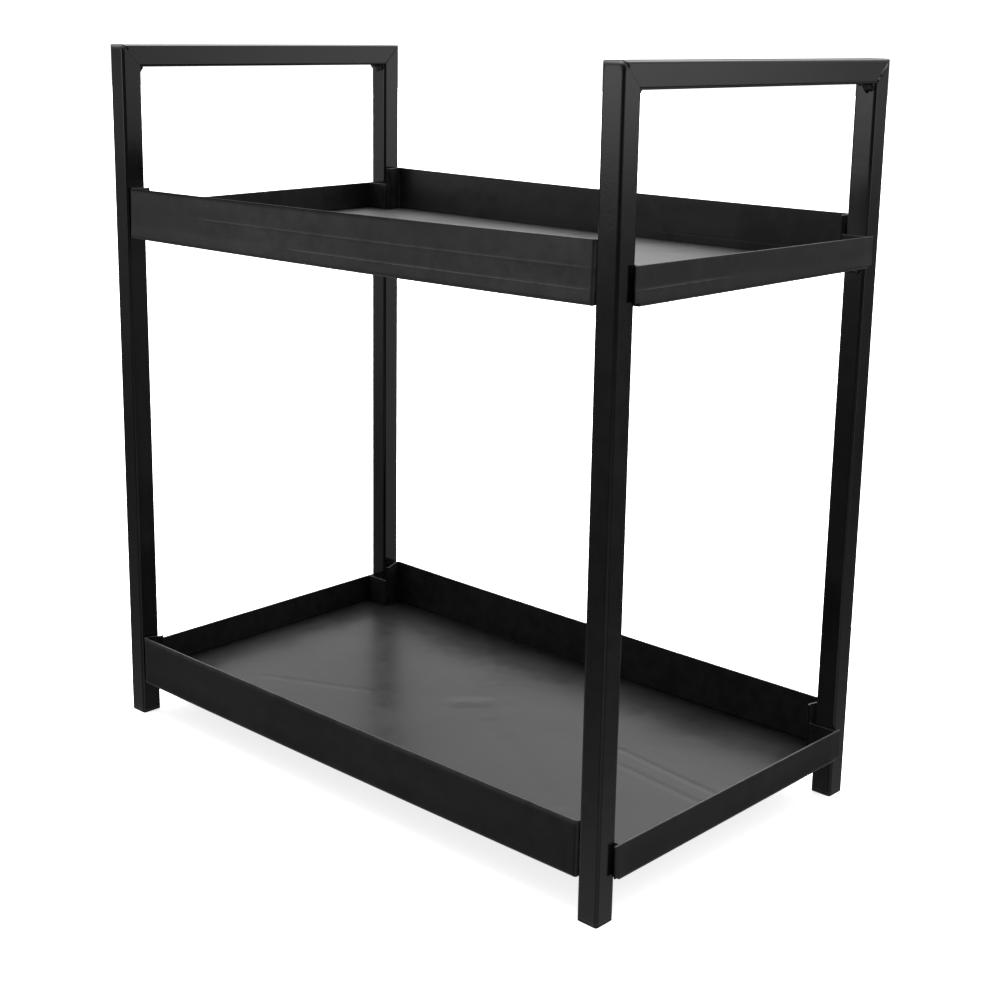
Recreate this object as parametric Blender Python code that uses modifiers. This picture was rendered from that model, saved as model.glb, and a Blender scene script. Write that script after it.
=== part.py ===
"""Two-tier bathroom organizer: a welded square-tube rack that holds two folded sheet-metal trays.

Metres, +Z up. The origin is on the floor, at the centre of the footprint. X runs along the long side and
-Y is the front. Two side frames, each of two legs and a top bar, stand at the ends. Each tray is one folded
sheet with a notch round every leg. It is welded to the legs from below.
"""

import math

import bmesh
import bpy
from mathutils import Matrix, Vector

# Frame, measured over the legs
FRAME_WIDTH = 0.3916
FRAME_DEPTH = 0.2236
FRAME_HEIGHT = 0.420

# Square tube of the legs and the top bars
TUBE = 0.013
TUBE_WALL = 0.001
TUBE_CORNER = 0.0015

# Plastic plugs in the lower ends of the legs
FOOT_FLANGE = 0.0015
FOOT_CHAMFER = 0.0004
PLUG_LENGTH = 0.009
PLUG_WALL = 0.0012
PLUG_CORNER = 0.0015

# Trays: heights are taken from the underside. The corner bend has to be wider than the fold of the floor.
SHEET = 0.001
LONG_WALL = 0.031
SHORT_WALL = 0.0195
LOWER_TRAY_Z = 0.022
UPPER_TRAY_Z = 0.307
FOLD_RADIUS = 0.0005
CORNER_BEND_RADIUS = 0.0007

# How the trays stand to the legs, and how far past the corner bend the low end wall starts
FLANGE_GAP = 0.0008
NOTCH_GAP = 0.0005
SIDE_STANDOFF = 0.0017
SIDE_LAP = 0.0030
LOW_END_PAST_BEND = 0.0003

# Welds: the throat side of each fillet, and the length of a tray weld
FRAME_WELD = 0.0035
TRAY_WELD = 0.003
TRAY_WELD_LENGTH = 0.008

# Gap that touching pieces keep, and steps in a quarter turn
FIT = 0.0003
ARC_STEPS = 5
FOLD_STEPS = 3

# Worked out from the sizes above
HALF_WIDTH = FRAME_WIDTH / 2
HALF_DEPTH = FRAME_DEPTH / 2
LEG_X = HALF_WIDTH - TUBE / 2
LEG_Y = HALF_DEPTH - TUBE / 2
LEG_INNER_Y = HALF_DEPTH - TUBE
BAR_UNDERSIDE = FRAME_HEIGHT - TUBE
LEG_BOTTOM = FOOT_FLANGE + FIT
FLANGE_X = HALF_WIDTH - TUBE - FLANGE_GAP
NOTCH_Y = LEG_INNER_Y - NOTCH_GAP
SIDE_INNER_X = HALF_WIDTH + SIDE_STANDOFF
SIDE_OUTER_X = SIDE_INNER_X + SHEET
SIDE_END_Y = LEG_INNER_Y + SIDE_LAP

# How far cutters and mirrored halves run past what they cut, and the merge distance
OVERRUN = 0.005
MERGE = 0.00001

LEGS = {
    "front_left": (-1, -1),
    "front_right": (1, -1),
    "rear_left": (-1, 1),
    "rear_right": (1, 1),
}
SIDES = {"left": -1, "right": 1}
TRAYS = {"lower_tray": LOWER_TRAY_Z, "upper_tray": UPPER_TRAY_Z}


def clear_scene():
    for obj in list(bpy.data.objects):
        bpy.data.objects.remove(obj, do_unlink=True)


def new_collection(name):
    collection = bpy.data.collections.new(name)
    bpy.context.scene.collection.children.link(collection)
    return collection


def material(name, colour, roughness):
    mat = bpy.data.materials.new(name)
    mat.use_nodes = True
    shader = mat.node_tree.nodes["Principled BSDF"]
    shader.inputs["Base Color"].default_value = (*colour, 1.0)
    shader.inputs["Roughness"].default_value = roughness
    shader.inputs["Metallic"].default_value = 0.0
    return mat


# Outlines

def round_corner(before, corner, after, radius):
    """The arc that takes the place of one square corner of an outline."""
    corner = Vector(corner)
    back = (Vector(before) - corner).normalized()
    ahead = (Vector(after) - corner).normalized()
    centre = corner + (back + ahead) * radius
    points = []
    for step in range(ARC_STEPS + 1):
        turn = math.radians(90) * step / ARC_STEPS
        points.append(centre - (ahead * math.cos(turn) + back * math.sin(turn)) * radius)
    return points


def outline(corners):
    """Closed outline through square corners, each given as x, y and the radius that rounds it."""
    points = []
    for index, (x, y, radius) in enumerate(corners):
        before = corners[index - 1][:2]
        after = corners[(index + 1) % len(corners)][:2]
        if radius > 0:
            points.extend(round_corner(before, (x, y), after, radius))
        else:
            points.append(Vector((x, y)))
    return points


def four_ways(corners):
    """Mirror the corners of one quarter into the other three, in order round the outline."""
    first = list(corners)
    second = [(-x, y, radius) for x, y, radius in reversed(first)]
    third = [(-x, -y, radius) for x, y, radius in first]
    fourth = [(x, -y, radius) for x, y, radius in reversed(first)]
    return first + second + third + fourth


def square(side, radius):
    return outline(four_ways([(side / 2, side / 2, radius)]))


# Solids

def add_object(name, mesh, collection, mat=None):
    obj = bpy.data.objects.new(name, mesh)
    collection.objects.link(obj)
    if mat is not None:
        mesh.materials.clear()
        mesh.materials.append(mat)
    return obj


def raised(name, points, height, filled):
    """Mesh of one flat outline raised from z = 0 to the given height, with or without its two ends."""
    curve = bpy.data.curves.new(name, "CURVE")
    curve.dimensions = "2D"
    curve.fill_mode = "BOTH" if filled else "NONE"
    curve.extrude = height / 2
    spline = curve.splines.new("POLY")
    spline.points.add(len(points) - 1)
    for slot, point in zip(spline.points, points):
        slot.co = (point.x, point.y, 0.0, 1.0)
    spline.use_cyclic_u = True
    guide = bpy.data.objects.new(name, curve)
    bpy.context.scene.collection.objects.link(guide)
    bpy.context.view_layer.update()
    evaluated = guide.evaluated_get(bpy.context.evaluated_depsgraph_get())
    mesh = bpy.data.meshes.new_from_object(evaluated)
    bpy.data.objects.remove(guide, do_unlink=True)
    bpy.data.curves.remove(curve)
    mesh.name = name
    build = bmesh.new()
    build.from_mesh(mesh)
    bmesh.ops.remove_doubles(build, verts=build.verts, dist=MERGE)
    across = [edge for edge in build.edges if all(abs(face.normal.z) > 0.5 for face in edge.link_faces)]
    bmesh.ops.dissolve_edges(build, edges=across)
    bmesh.ops.translate(build, verts=build.verts, vec=(0.0, 0.0, height / 2))
    bmesh.ops.recalc_face_normals(build, faces=build.faces)
    build.to_mesh(mesh)
    build.free()
    return mesh


def extruded(name, points, height, collection, mat=None):
    """A solid with a flat outline."""
    return add_object(name, raised(name, points, height, True), collection, mat)


def tube(name, points, wall, height, collection, mat=None):
    """An open-ended tube with the given outline outside."""
    obj = add_object(name, raised(name, points, height, False), collection, mat)
    shell = obj.modifiers.new("wall", "SOLIDIFY")
    shell.thickness = wall
    shell.offset = -1.0
    shell.use_even_offset = True
    shell.use_rim = True
    return obj


def boxes(name, spans, collection, mat=None):
    """One object of separate boxes, each given by its lowest and highest corner."""
    mesh = bpy.data.meshes.new(name)
    build = bmesh.new()
    for low, high in spans:
        for vert in bmesh.ops.create_cube(build, size=1.0)["verts"]:
            vert.co = [high[axis] if vert.co[axis] > 0 else low[axis] for axis in range(3)]
    build.to_mesh(mesh)
    build.free()
    return add_object(name, mesh, collection, mat)


def round_lowest_edges(obj, radius, steps):
    """Round the edges round the underside of an upright solid, as a folded sheet is."""
    mesh = obj.data
    build = bmesh.new()
    build.from_mesh(mesh)
    low = min(vert.co.z for vert in build.verts)
    edges = []
    for edge in build.edges:
        flat = all(abs(vert.co.z - low) < MERGE for vert in edge.verts)
        upright = any(abs(face.normal.z) < 0.5 for face in edge.link_faces)
        if flat and upright:
            edges.append(edge)
    bmesh.ops.bevel(build, geom=edges, offset=radius, segments=steps, profile=0.5, affect="EDGES")
    build.to_mesh(mesh)
    build.free()


def join_or_cut(obj, tool, operation):
    tool.hide_render = True
    tool.display_type = "WIRE"
    modifier = obj.modifiers.new(tool.name, "BOOLEAN")
    modifier.operation = operation
    modifier.solver = "EXACT"
    modifier.object = tool


def smooth(obj):
    obj.data.shade_smooth()
    obj.data.set_sharp_from_angle(angle=math.radians(40))


# Frame

def mitre_cutter(name, side, end, keep_below, cutters):
    """A box that cuts a leg or its top bar at their 45 degree joint, with half the gap more."""
    size = 4 * TUBE
    outward = Vector((0.0, -end, 1.0)).normalized()
    if not keep_below:
        outward.negate()
    joint = Vector((side * LEG_X, end * LEG_Y, FRAME_HEIGHT - TUBE / 2))
    box = boxes(name, [((-size / 2,) * 3, (size / 2,) * 3)], cutters)
    box.rotation_euler = (math.radians(45), 0.0, 0.0)
    box.location = joint + outward * (size - FIT) / 2
    return box


def add_leg(place, side, end, collection, cutters, mat):
    length = FRAME_HEIGHT - LEG_BOTTOM
    leg = tube(f"leg_{place}", square(TUBE, TUBE_CORNER), TUBE_WALL, length, collection, mat)
    leg.location = (side * LEG_X, end * LEG_Y, LEG_BOTTOM)
    join_or_cut(leg, mitre_cutter(f"leg_mitre_{place}", side, end, True, cutters), "DIFFERENCE")
    smooth(leg)


def add_top_bar(place, side, collection, cutters, mat):
    bar = tube(f"top_bar_{place}", square(TUBE, TUBE_CORNER), TUBE_WALL, FRAME_DEPTH, collection, mat)
    bar.rotation_euler = (math.radians(90), 0.0, 0.0)
    bar.location = (side * LEG_X, HALF_DEPTH, FRAME_HEIGHT - TUBE / 2)
    for end, word in ((-1, "front"), (1, "rear")):
        join_or_cut(bar, mitre_cutter(f"bar_mitre_{word}_{place}", side, end, False, cutters), "DIFFERENCE")
    smooth(bar)


def add_weld(name, size, length, corner, turn, collection, mat):
    """A weld fillet with a hollow face. Its root runs along X at the corner, and turn swings it about X."""
    root = [Vector((0.0, 0.0)), Vector((size, 0.0))]
    centre = Vector((size, size))
    face = []
    for step in range(1, ARC_STEPS):
        angle = math.radians(270 - 90 * step / ARC_STEPS)
        face.append(centre + Vector((math.cos(angle), math.sin(angle))) * size)
    weld = extruded(name, root + face + [Vector((0.0, size))], length, collection, mat)
    stand = Matrix.Rotation(math.radians(90), 4, "Y") @ Matrix.Rotation(math.radians(90), 4, "Z")
    centred = Matrix.Translation((-length / 2, 0.0, 0.0))
    weld.matrix_world = Matrix.Translation(corner) @ Matrix.Rotation(turn, 4, "X") @ centred @ stand
    smooth(weld)


def add_corner_weld(place, side, end, collection, mat):
    """Fills the inner corner under the top bar, on the leg's inner face."""
    corner = (side * LEG_X, end * (LEG_INNER_Y - FIT), BAR_UNDERSIDE - FIT)
    turn = math.radians(180 if end > 0 else 270)
    length = TUBE - 2 * TUBE_CORNER
    add_weld(f"corner_weld_{place}", FRAME_WELD, length, corner, turn, collection, mat)


def add_tray_weld(tray, place, side, end, z, collection, mat):
    """Holds a tray's underside to the leg's inner face."""
    corner = (side * LEG_X, end * (LEG_INNER_Y - FIT), z - FIT)
    turn = math.radians(180 if end > 0 else 270)
    add_weld(f"{tray}_weld_{place}", TRAY_WELD, TRAY_WELD_LENGTH, corner, turn, collection, mat)


def add_foot(place, side, end, collection, cutters, mat):
    """A square plug: a flange under the tube's end and a hollow shank inside the tube."""
    foot = extruded(f"foot_{place}", square(TUBE, TUBE_CORNER), FOOT_FLANGE, collection, mat)
    round_lowest_edges(foot, FOOT_CHAMFER, 1)
    shank_side = TUBE - 2 * TUBE_WALL - 2 * FIT
    shank_start = FOOT_FLANGE / 2
    shank_length = FOOT_FLANGE - shank_start + PLUG_LENGTH
    shank = tube(f"shank_{place}", square(shank_side, PLUG_CORNER), PLUG_WALL, shank_length, cutters)
    foot.location = (side * LEG_X, end * LEG_Y, 0.0)
    shank.location = (side * LEG_X, end * LEG_Y, shank_start)
    join_or_cut(foot, shank, "UNION")
    smooth(foot)


# Trays

def quarter(corners, margin):
    """Outline of one quarter of a tray, from its corners, that runs a little past both middle planes."""
    first_x = corners[0][0]
    last_y = corners[-1][1]
    return outline([(-margin, -margin, 0.0), (first_x, -margin, 0.0), *corners, (-margin, last_y, 0.0)])


def mirror_quarter(obj):
    """Cut at the middle planes and mirror both ways."""
    modifier = obj.modifiers.new("four_quarters", "MIRROR")
    modifier.use_axis = (True, True, False)
    modifier.use_bisect_axis = (True, True, False)
    modifier.use_mirror_merge = True
    modifier.merge_threshold = MERGE
    modifier.bisect_threshold = MERGE


def add_tray(name, z, collection, cutters, mat):
    """One folded sheet. The long walls turn in beside the legs, and low flanges close the notches."""
    fold_outside = FOLD_RADIUS + SHEET
    bend_outside = CORNER_BEND_RADIUS + SHEET
    outside = quarter([
        (SIDE_OUTER_X, NOTCH_Y, 0.0),
        (FLANGE_X, NOTCH_Y, CORNER_BEND_RADIUS),
        (FLANGE_X, HALF_DEPTH, bend_outside),
    ], OVERRUN)
    inside = quarter([
        (SIDE_INNER_X, NOTCH_Y - SHEET, 0.0),
        (FLANGE_X - SHEET, NOTCH_Y - SHEET, bend_outside),
        (FLANGE_X - SHEET, HALF_DEPTH - SHEET, CORNER_BEND_RADIUS),
    ], 2 * OVERRUN)
    tray = extruded(name, outside, LONG_WALL, collection, mat)
    round_lowest_edges(tray, fold_outside, FOLD_STEPS)
    tray.location.z = z

    # The end of the side wall runs on over the leg
    lap_top = (SHORT_WALL + LONG_WALL) / 2
    lap_low = (SIDE_INNER_X, NOTCH_Y - SHEET / 2, fold_outside + FOLD_RADIUS)
    lap = boxes(f"{name}_lap", [(lap_low, (SIDE_OUTER_X, SIDE_END_Y, lap_top))], cutters)
    lap.location.z = z
    join_or_cut(tray, lap, "UNION")

    # The hollow runs out past the rim
    hollow = extruded(f"{name}_hollow", inside, LONG_WALL, cutters)
    round_lowest_edges(hollow, FOLD_RADIUS, FOLD_STEPS)
    hollow.location.z = z + SHEET
    join_or_cut(tray, hollow, "DIFFERENCE")

    # The low end wall starts past the bend of the notch
    end_low = (FLANGE_X + CORNER_BEND_RADIUS + LOW_END_PAST_BEND, -2 * OVERRUN, SHORT_WALL)
    end_high = (SIDE_OUTER_X + OVERRUN, HALF_DEPTH, LONG_WALL + OVERRUN)
    low_end = boxes(f"{name}_low_end", [(end_low, end_high)], cutters)
    low_end.location.z = z
    join_or_cut(tray, low_end, "DIFFERENCE")
    mirror_quarter(tray)
    smooth(tray)


def main():
    clear_scene()
    collection = new_collection("two_tier_organizer")
    cutters = new_collection("cutters")
    coat = material("black_powder_coat", (0.013, 0.013, 0.014), 0.36)
    sheet_coat = material("black_tray_coat", (0.015, 0.015, 0.016), 0.30)
    plug_black = material("black_plug_plastic", (0.010, 0.010, 0.010), 0.55)

    for place, (side, end) in LEGS.items():
        add_leg(place, side, end, collection, cutters, coat)
        add_corner_weld(place, side, end, collection, coat)
        add_foot(place, side, end, collection, cutters, plug_black)
    for place, side in SIDES.items():
        add_top_bar(place, side, collection, cutters, coat)
    for tray, z in TRAYS.items():
        add_tray(tray, z, collection, cutters, sheet_coat)
        for place, (side, end) in LEGS.items():
            add_tray_weld(tray, place, side, end, z, collection, coat)


main()
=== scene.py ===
"""Looks of the two-tier organizer: satin powder coat, folded trays with their small sags, weld beads,
a pale floor, soft studio light and a camera at the photograph's viewing angle.

Metres, +Z up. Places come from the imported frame: the legs, top bars and trays give every corner.
"""

import math

import bmesh
import bpy
from mathutils import Matrix, Vector, noise


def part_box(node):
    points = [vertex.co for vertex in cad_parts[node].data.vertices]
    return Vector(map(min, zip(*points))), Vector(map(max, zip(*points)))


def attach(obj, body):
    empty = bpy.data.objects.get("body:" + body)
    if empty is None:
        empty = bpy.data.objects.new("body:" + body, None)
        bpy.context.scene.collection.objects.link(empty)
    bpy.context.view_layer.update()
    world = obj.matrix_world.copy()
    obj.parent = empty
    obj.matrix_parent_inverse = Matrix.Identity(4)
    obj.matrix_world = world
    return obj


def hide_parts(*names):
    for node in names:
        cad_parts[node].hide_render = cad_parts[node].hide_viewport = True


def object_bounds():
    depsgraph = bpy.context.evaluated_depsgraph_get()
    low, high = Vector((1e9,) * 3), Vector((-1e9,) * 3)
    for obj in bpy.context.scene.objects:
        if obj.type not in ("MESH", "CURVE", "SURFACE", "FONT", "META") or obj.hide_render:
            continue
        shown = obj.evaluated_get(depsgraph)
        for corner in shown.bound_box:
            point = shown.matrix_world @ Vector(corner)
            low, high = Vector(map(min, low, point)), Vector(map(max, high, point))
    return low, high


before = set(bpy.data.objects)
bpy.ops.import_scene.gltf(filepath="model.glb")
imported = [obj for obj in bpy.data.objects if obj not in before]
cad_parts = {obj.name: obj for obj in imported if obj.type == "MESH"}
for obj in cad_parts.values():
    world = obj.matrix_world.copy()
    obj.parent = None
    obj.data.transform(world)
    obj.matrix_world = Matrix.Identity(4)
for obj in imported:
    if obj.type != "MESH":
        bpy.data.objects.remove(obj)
cad_low, cad_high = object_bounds()

BODY = "root"
LEGS = {
    "front_left": (-1, -1),
    "front_right": (1, -1),
    "rear_left": (-1, 1),
    "rear_right": (1, 1),
}
TRAYS = ("lower_tray", "upper_tray")

# Sizes read from the frame
leg_low, leg_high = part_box("leg_rear_right")
bar_low, bar_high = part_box("top_bar_right")
TUBE = leg_high.x - leg_low.x
TUBE_CORNER = 0.0015
LEG_X = (leg_low.x + leg_high.x) / 2
LEG_INNER_Y = leg_low.y
HALF_WIDTH = cad_high.x
HALF_DEPTH = cad_high.y
FRAME_TOP = bar_high.z
BAR_UNDERSIDE = bar_low.z
TUBE_END = leg_low.z

# Gaps from a leg to the flange beside it and to the low wall that closes the notch, and where both lie
FLANGE_GAP = 0.0008
LOW_WALL_GAP = 0.0005
FLANGE_X = LEG_X - TUBE / 2 - FLANGE_GAP
NOTCH_Y = LEG_INNER_Y - LOW_WALL_GAP

# Distance under which two points are one, and the rounding of the sheet's cut edges
MERGE = 0.00001
RIM_ROUND = 0.0003

# An edge is rounded above the first angle, and joins two faces into one below the second, in degrees
SHARP_ANGLE = 60
FLAT_ANGLE = 2

# Fine mesh of the trays: spacing of the cuts along and across, and of the cuts upwards
CUT_ALONG = 0.007
CUT_UP = 0.003

# An edge that bends by more degrees than this belongs to a fold, which ends this far from the outside
FOLD_ANGLE = 6
FOLD_REACH = 0.0021

# An edge is upright when this share of its length rises
UPRIGHT_SLOPE = 0.8

# How much shade the coat takes, 1 being the shade of the folds round the floor: in the upright hollow folds,
# on the bends beside the legs and on the duller half of the upper tray's front rim
UPRIGHT_SHADE = 0.15
BEND_SHADE = 0.75
RIM_SHADE = 0.85
RIM_SHADE_ENDS = (-0.02, 0.16)

# How bright the painted highlight on the rims of the lower tray's front and right walls is, and how high its
# side walls are
RIM_HIGHLIGHT = 0.55
SIDE_WALL = 0.0195

# How far the painted light on the bends beside the legs reaches, and the painted light on the inner faces of
# the walls
NOTCH_LIGHT_REACH = 0.0012
WALL_LIGHT = {"lower_tray": 0.15, "upper_tray": 0.0}

# The sheet's wall lies this close to the tray's outside, and the waves of the floor end at these reaches
WALL_ZONE = 0.0014
FLOOR_REACH = (0.180, 0.108)

# Camera: place, the point it aims at, roll, focal length on a 36 mm sensor and the frame's shift
CAMERA_PLACE = Vector((0.6759, -0.7038, 0.4344))
CAMERA_TARGET = Vector((0.0085, 0.0, 0.2067))
CAMERA_ROLL = math.radians(0.86)
CAMERA_LENS = 61.16
CAMERA_SENSOR = 36.0
CAMERA_SHIFT = (0.0157, -0.0765)


# Node helpers

def add_node(tree, kind, **settings):
    made = tree.nodes.new(kind)
    for key, value in settings.items():
        setattr(made, key, value)
    return made


def feed(tree, made, name, value):
    """Give a socket a constant, or link it to another node's socket."""
    if isinstance(value, bpy.types.NodeSocket):
        tree.links.new(value, made.inputs[name])
    else:
        made.inputs[name].default_value = value


def math_node(tree, operation, first, second=0.0, clamp=False):
    made = add_node(tree, "ShaderNodeMath", operation=operation, use_clamp=clamp)
    feed(tree, made, 0, first)
    feed(tree, made, 1, second)
    return made.outputs[0]


def spread(tree, value, low, high, to_low=0.0, to_high=1.0):
    """Map a value from one range to another, with a soft start and end."""
    made = add_node(tree, "ShaderNodeMapRange", interpolation_type="SMOOTHSTEP")
    for index, given in enumerate((value, low, high, to_low, to_high)):
        feed(tree, made, index, given)
    return made.outputs["Result"]


def blend(tree, share, first, second):
    """Mix two colours, of which each can be a grey level, a colour or a socket."""
    made = add_node(tree, "ShaderNodeMix", data_type="RGBA")
    feed(tree, made, 0, share)
    for index, colour in ((6, first), (7, second)):
        if isinstance(colour, float):
            colour = (colour, colour, colour)
        if isinstance(colour, tuple):
            colour = (*colour, 1.0)
        feed(tree, made, index, colour)
    return made.outputs[2]


def times(tree, first, second):
    return math_node(tree, "MULTIPLY", first, second)


def plus(tree, first, second):
    return math_node(tree, "ADD", first, second)


def attribute_node(tree, name):
    return add_node(tree, "ShaderNodeAttribute", attribute_name=name).outputs["Fac"]


def normal_node(tree):
    return add_node(tree, "ShaderNodeNewGeometry").outputs["Normal"]


def object_place(tree):
    return add_node(tree, "ShaderNodeTexCoord").outputs["Object"]


def vector_node(tree, operation, *given):
    made = add_node(tree, "ShaderNodeVectorMath", operation=operation)
    for index, value in enumerate(given):
        feed(tree, made, index, value)
    return made.outputs["Value"] if operation in ("DOT_PRODUCT", "DISTANCE") else made.outputs[0]


def scale_node(tree, vector, factor):
    made = add_node(tree, "ShaderNodeVectorMath", operation="SCALE")
    feed(tree, made, 0, vector)
    feed(tree, made, "Scale", factor)
    return made.outputs[0]


def part_node(tree, vector, axis):
    made = add_node(tree, "ShaderNodeSeparateXYZ")
    feed(tree, made, 0, vector)
    return made.outputs[axis]


def bevel_node(tree, radius, samples):
    """The direction that the surface would face if its edges were rounded."""
    made = add_node(tree, "ShaderNodeBevel", samples=samples)
    feed(tree, made, "Radius", radius)
    return made.outputs["Normal"]


def bump_node(tree, height, distance, normal=None):
    made = add_node(tree, "ShaderNodeBump")
    feed(tree, made, "Height", height)
    feed(tree, made, "Distance", distance)
    if normal is not None:
        feed(tree, made, "Normal", normal)
    return made.outputs["Normal"]


def noise_node(tree, place, scale, detail=2.0, roughness=0.5, stretch=(1.0, 1.0, 1.0)):
    """Noise whose scale is in cells to the metre."""
    mapping = add_node(tree, "ShaderNodeMapping")
    feed(tree, mapping, "Vector", place)
    feed(tree, mapping, "Scale", stretch)
    made = add_node(tree, "ShaderNodeTexNoise")
    feed(tree, made, "Vector", mapping.outputs["Vector"])
    feed(tree, made, "Scale", scale)
    feed(tree, made, "Detail", detail)
    feed(tree, made, "Roughness", roughness)
    return made.outputs["Fac"]


# Share of the cells without a speck
SPECK_FREE = 0.72


def specks_node(tree, place, scale, size):
    """Round specks, one in some of the cells."""
    cells = add_node(tree, "ShaderNodeTexVoronoi", feature="F1")
    feed(tree, cells, "Vector", place)
    feed(tree, cells, "Scale", scale)
    feed(tree, cells, "Randomness", 1.0)
    chosen = add_node(tree, "ShaderNodeSeparateColor")
    feed(tree, chosen, "Color", cells.outputs["Color"])
    some = math_node(tree, "GREATER_THAN", chosen.outputs["Red"], SPECK_FREE)
    dot = spread(tree, cells.outputs["Distance"], size, 0.0)
    return times(tree, dot, some)


# A rounded edge turns the surface by more than nothing, and fully counts as one, below these cosines
EDGE_TURNS = (0.995, 0.90)
EDGE_SAMPLES = 6


def edge_node(tree, radius):
    """1 near a convex or concave edge, 0 on flat faces."""
    turn = vector_node(tree, "DOT_PRODUCT", bevel_node(tree, radius, EDGE_SAMPLES), normal_node(tree))
    return spread(tree, turn, *EDGE_TURNS)


def mark_node(tree, place, start, stop, width):
    """1 along the straight line between two places, fading to 0 at the given distance from it."""
    start, stop = Vector(start), Vector(stop)
    length = (stop - start).length
    way = (stop - start) / length
    away = vector_node(tree, "SUBTRACT", place, start)
    along = vector_node(tree, "DOT_PRODUCT", away, way)
    held = math_node(tree, "MINIMUM", math_node(tree, "MAXIMUM", along, 0.0), length)
    return spread(tree, vector_node(tree, "DISTANCE", away, scale_node(tree, way, held)), width, 0.0)


# Materials

def new_material(name):
    mat = bpy.data.materials.new(name)
    mat.use_nodes = True
    return mat, mat.node_tree, mat.node_tree.nodes["Principled BSDF"]


# Powder coats: range of the colour and of the roughness, height of the orange peel, stretch of the rubs along
# the three axes, the dusting on the floor with its painted sheen, index of refraction and height of the
# sheet's swells
COATS = {
    "frame": {
        "dark": (0.0050, 0.0050, 0.0051), "light": (0.0085, 0.0085, 0.0086), "smooth": 0.12, "rough": 0.17,
        "peel": 0.000012, "rub_stretch": (1.0, 1.0, 0.08), "dust_and_sheen": 0.0, "ior": 1.5, "swell": 0.00001,
    },
    # The trays carry one coat: the upper tray's lighter tone and the lower tray's lower index of refraction,
    # which dims its reflections, are painted light and painted shade for the upper tray shading the lower
    "lower_tray": {
        "dark": (0.0080, 0.0080, 0.0081), "light": (0.0132, 0.0132, 0.0133), "smooth": 0.27, "rough": 0.34,
        "peel": 0.000012, "rub_stretch": (0.15, 0.15, 1.0), "dust_and_sheen": 0.0, "ior": 1.31, "swell": 0.00005,
    },
    "upper_tray": {
        "dark": (0.0080, 0.0080, 0.0081), "light": (0.0190, 0.0190, 0.0191), "smooth": 0.36, "rough": 0.44,
        "peel": 0.000018, "rub_stretch": (0.15, 0.15, 1.0), "dust_and_sheen": 0.11, "ior": 1.5, "swell": 0.00014,
    },
}

# Noise patterns: scale in cells to the metre, detail and roughness
PATTERNS = {
    "haze": (14.0, 4.0),
    "mottle": (120.0, 3.0, 0.6),
    "rubs": (60.0, 5.0, 0.65),
    "peel": (520.0, 1.5, 0.4),
    "grain": (2600.0, 1.0),
    "swell": (85.0, 2.0),
    "swell_patches": (16.0, 2.0),
    "plug_cloud": (90.0, 3.0),
    "plug_grain": (3000.0, 2.0, 0.6),
}
NIB_CELLS = 150.0

# Ranges of a pattern over which a feature comes in, some with strengths at both ends
RUB_RANGE = (0.64, 0.74)
WORN_RANGE = (0.42, 0.66)
GLOSS_RANGE = (0.3, 0.7)
PATCH_RANGE = (0.40, 0.62)
HIGHLIGHT_UNEVEN = (0.30, 0.55, 0.45, 1.0)
LIGHT_UNEVEN = (0.35, 0.65, 0.6, 1.3)
MARK_UNEVEN = (0.35, 0.60, 0.8, 1.0)
SCUFF_RANGE = (0.35, 0.6)

# Cosines at which a face looks up, for the dusting and its painted sheen, and looks the way of a place of
# painted light, for that light
DUST_TURN = (0.6, 0.95)
LIGHT_TURN = (0.3, 0.9)

# Colours of rubs, wear on edges with its painted highlight, the dusting with its painted sheen, the painted
# highlight on press lines and rims, painted light, and painted shade in the folds
RUB_COLOUR = (0.020, 0.020, 0.021)
WORN_HIGHLIGHT_COLOUR = (0.045, 0.045, 0.046)
DUST_SHEEN_COLOUR = 0.16
HIGHLIGHT_COLOUR = (0.100, 0.100, 0.101)
PAINTED_LIGHT_COLOUR = (0.060, 0.060, 0.061)
FOLD_SHADE_COLOUR = 0.001

# How strongly some of them show, and the gloss that they add
RUB_SHARE = 0.12
RUB_ROUGHER = 0.04
WORN_HIGHLIGHT_SHARE = 0.2
WORN_ROUGHER = -0.05
FOLD_SHADE_SHARE = 0.4
DUST_ROUGHER = 0.6

# Shares of haze and mottle in the tone, and the range of the tone that goes from dark to light
HAZE_PART = 0.6
MOTTLE_PART = 0.4
TONE_RANGE = (0.41, 0.59)

# Specular level on open faces and in the shade of a fold
FOLD_SPECULAR = (0.5, 0.06)

# Size of the specks, and reach of the wear on edges, which is lighter there as a painted highlight
NIB_SIZE = 0.16
WORN_REACH = 0.0007

# Heights of grain and specks as a share of the orange peel's, and least swell between the swollen patches
GRAIN_PART = 0.12
NIB_PART = 0.9
LEAST_SWELL = 0.25

# A painted highlight runs in a thin ring round the tubes' lower ends: its half width, where it is full, and
# its strength
RING_REACH = 0.0009
RING_FULL = 0.0002
RING_STRENGTH = 0.9

# Radius to which the outer edges of the joints are ground, its samples, and how steeply it comes in
GROUND_RADIUS = 0.0028
GROUND_SAMPLES = 8
GROUND_FULL = 2.0


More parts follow.
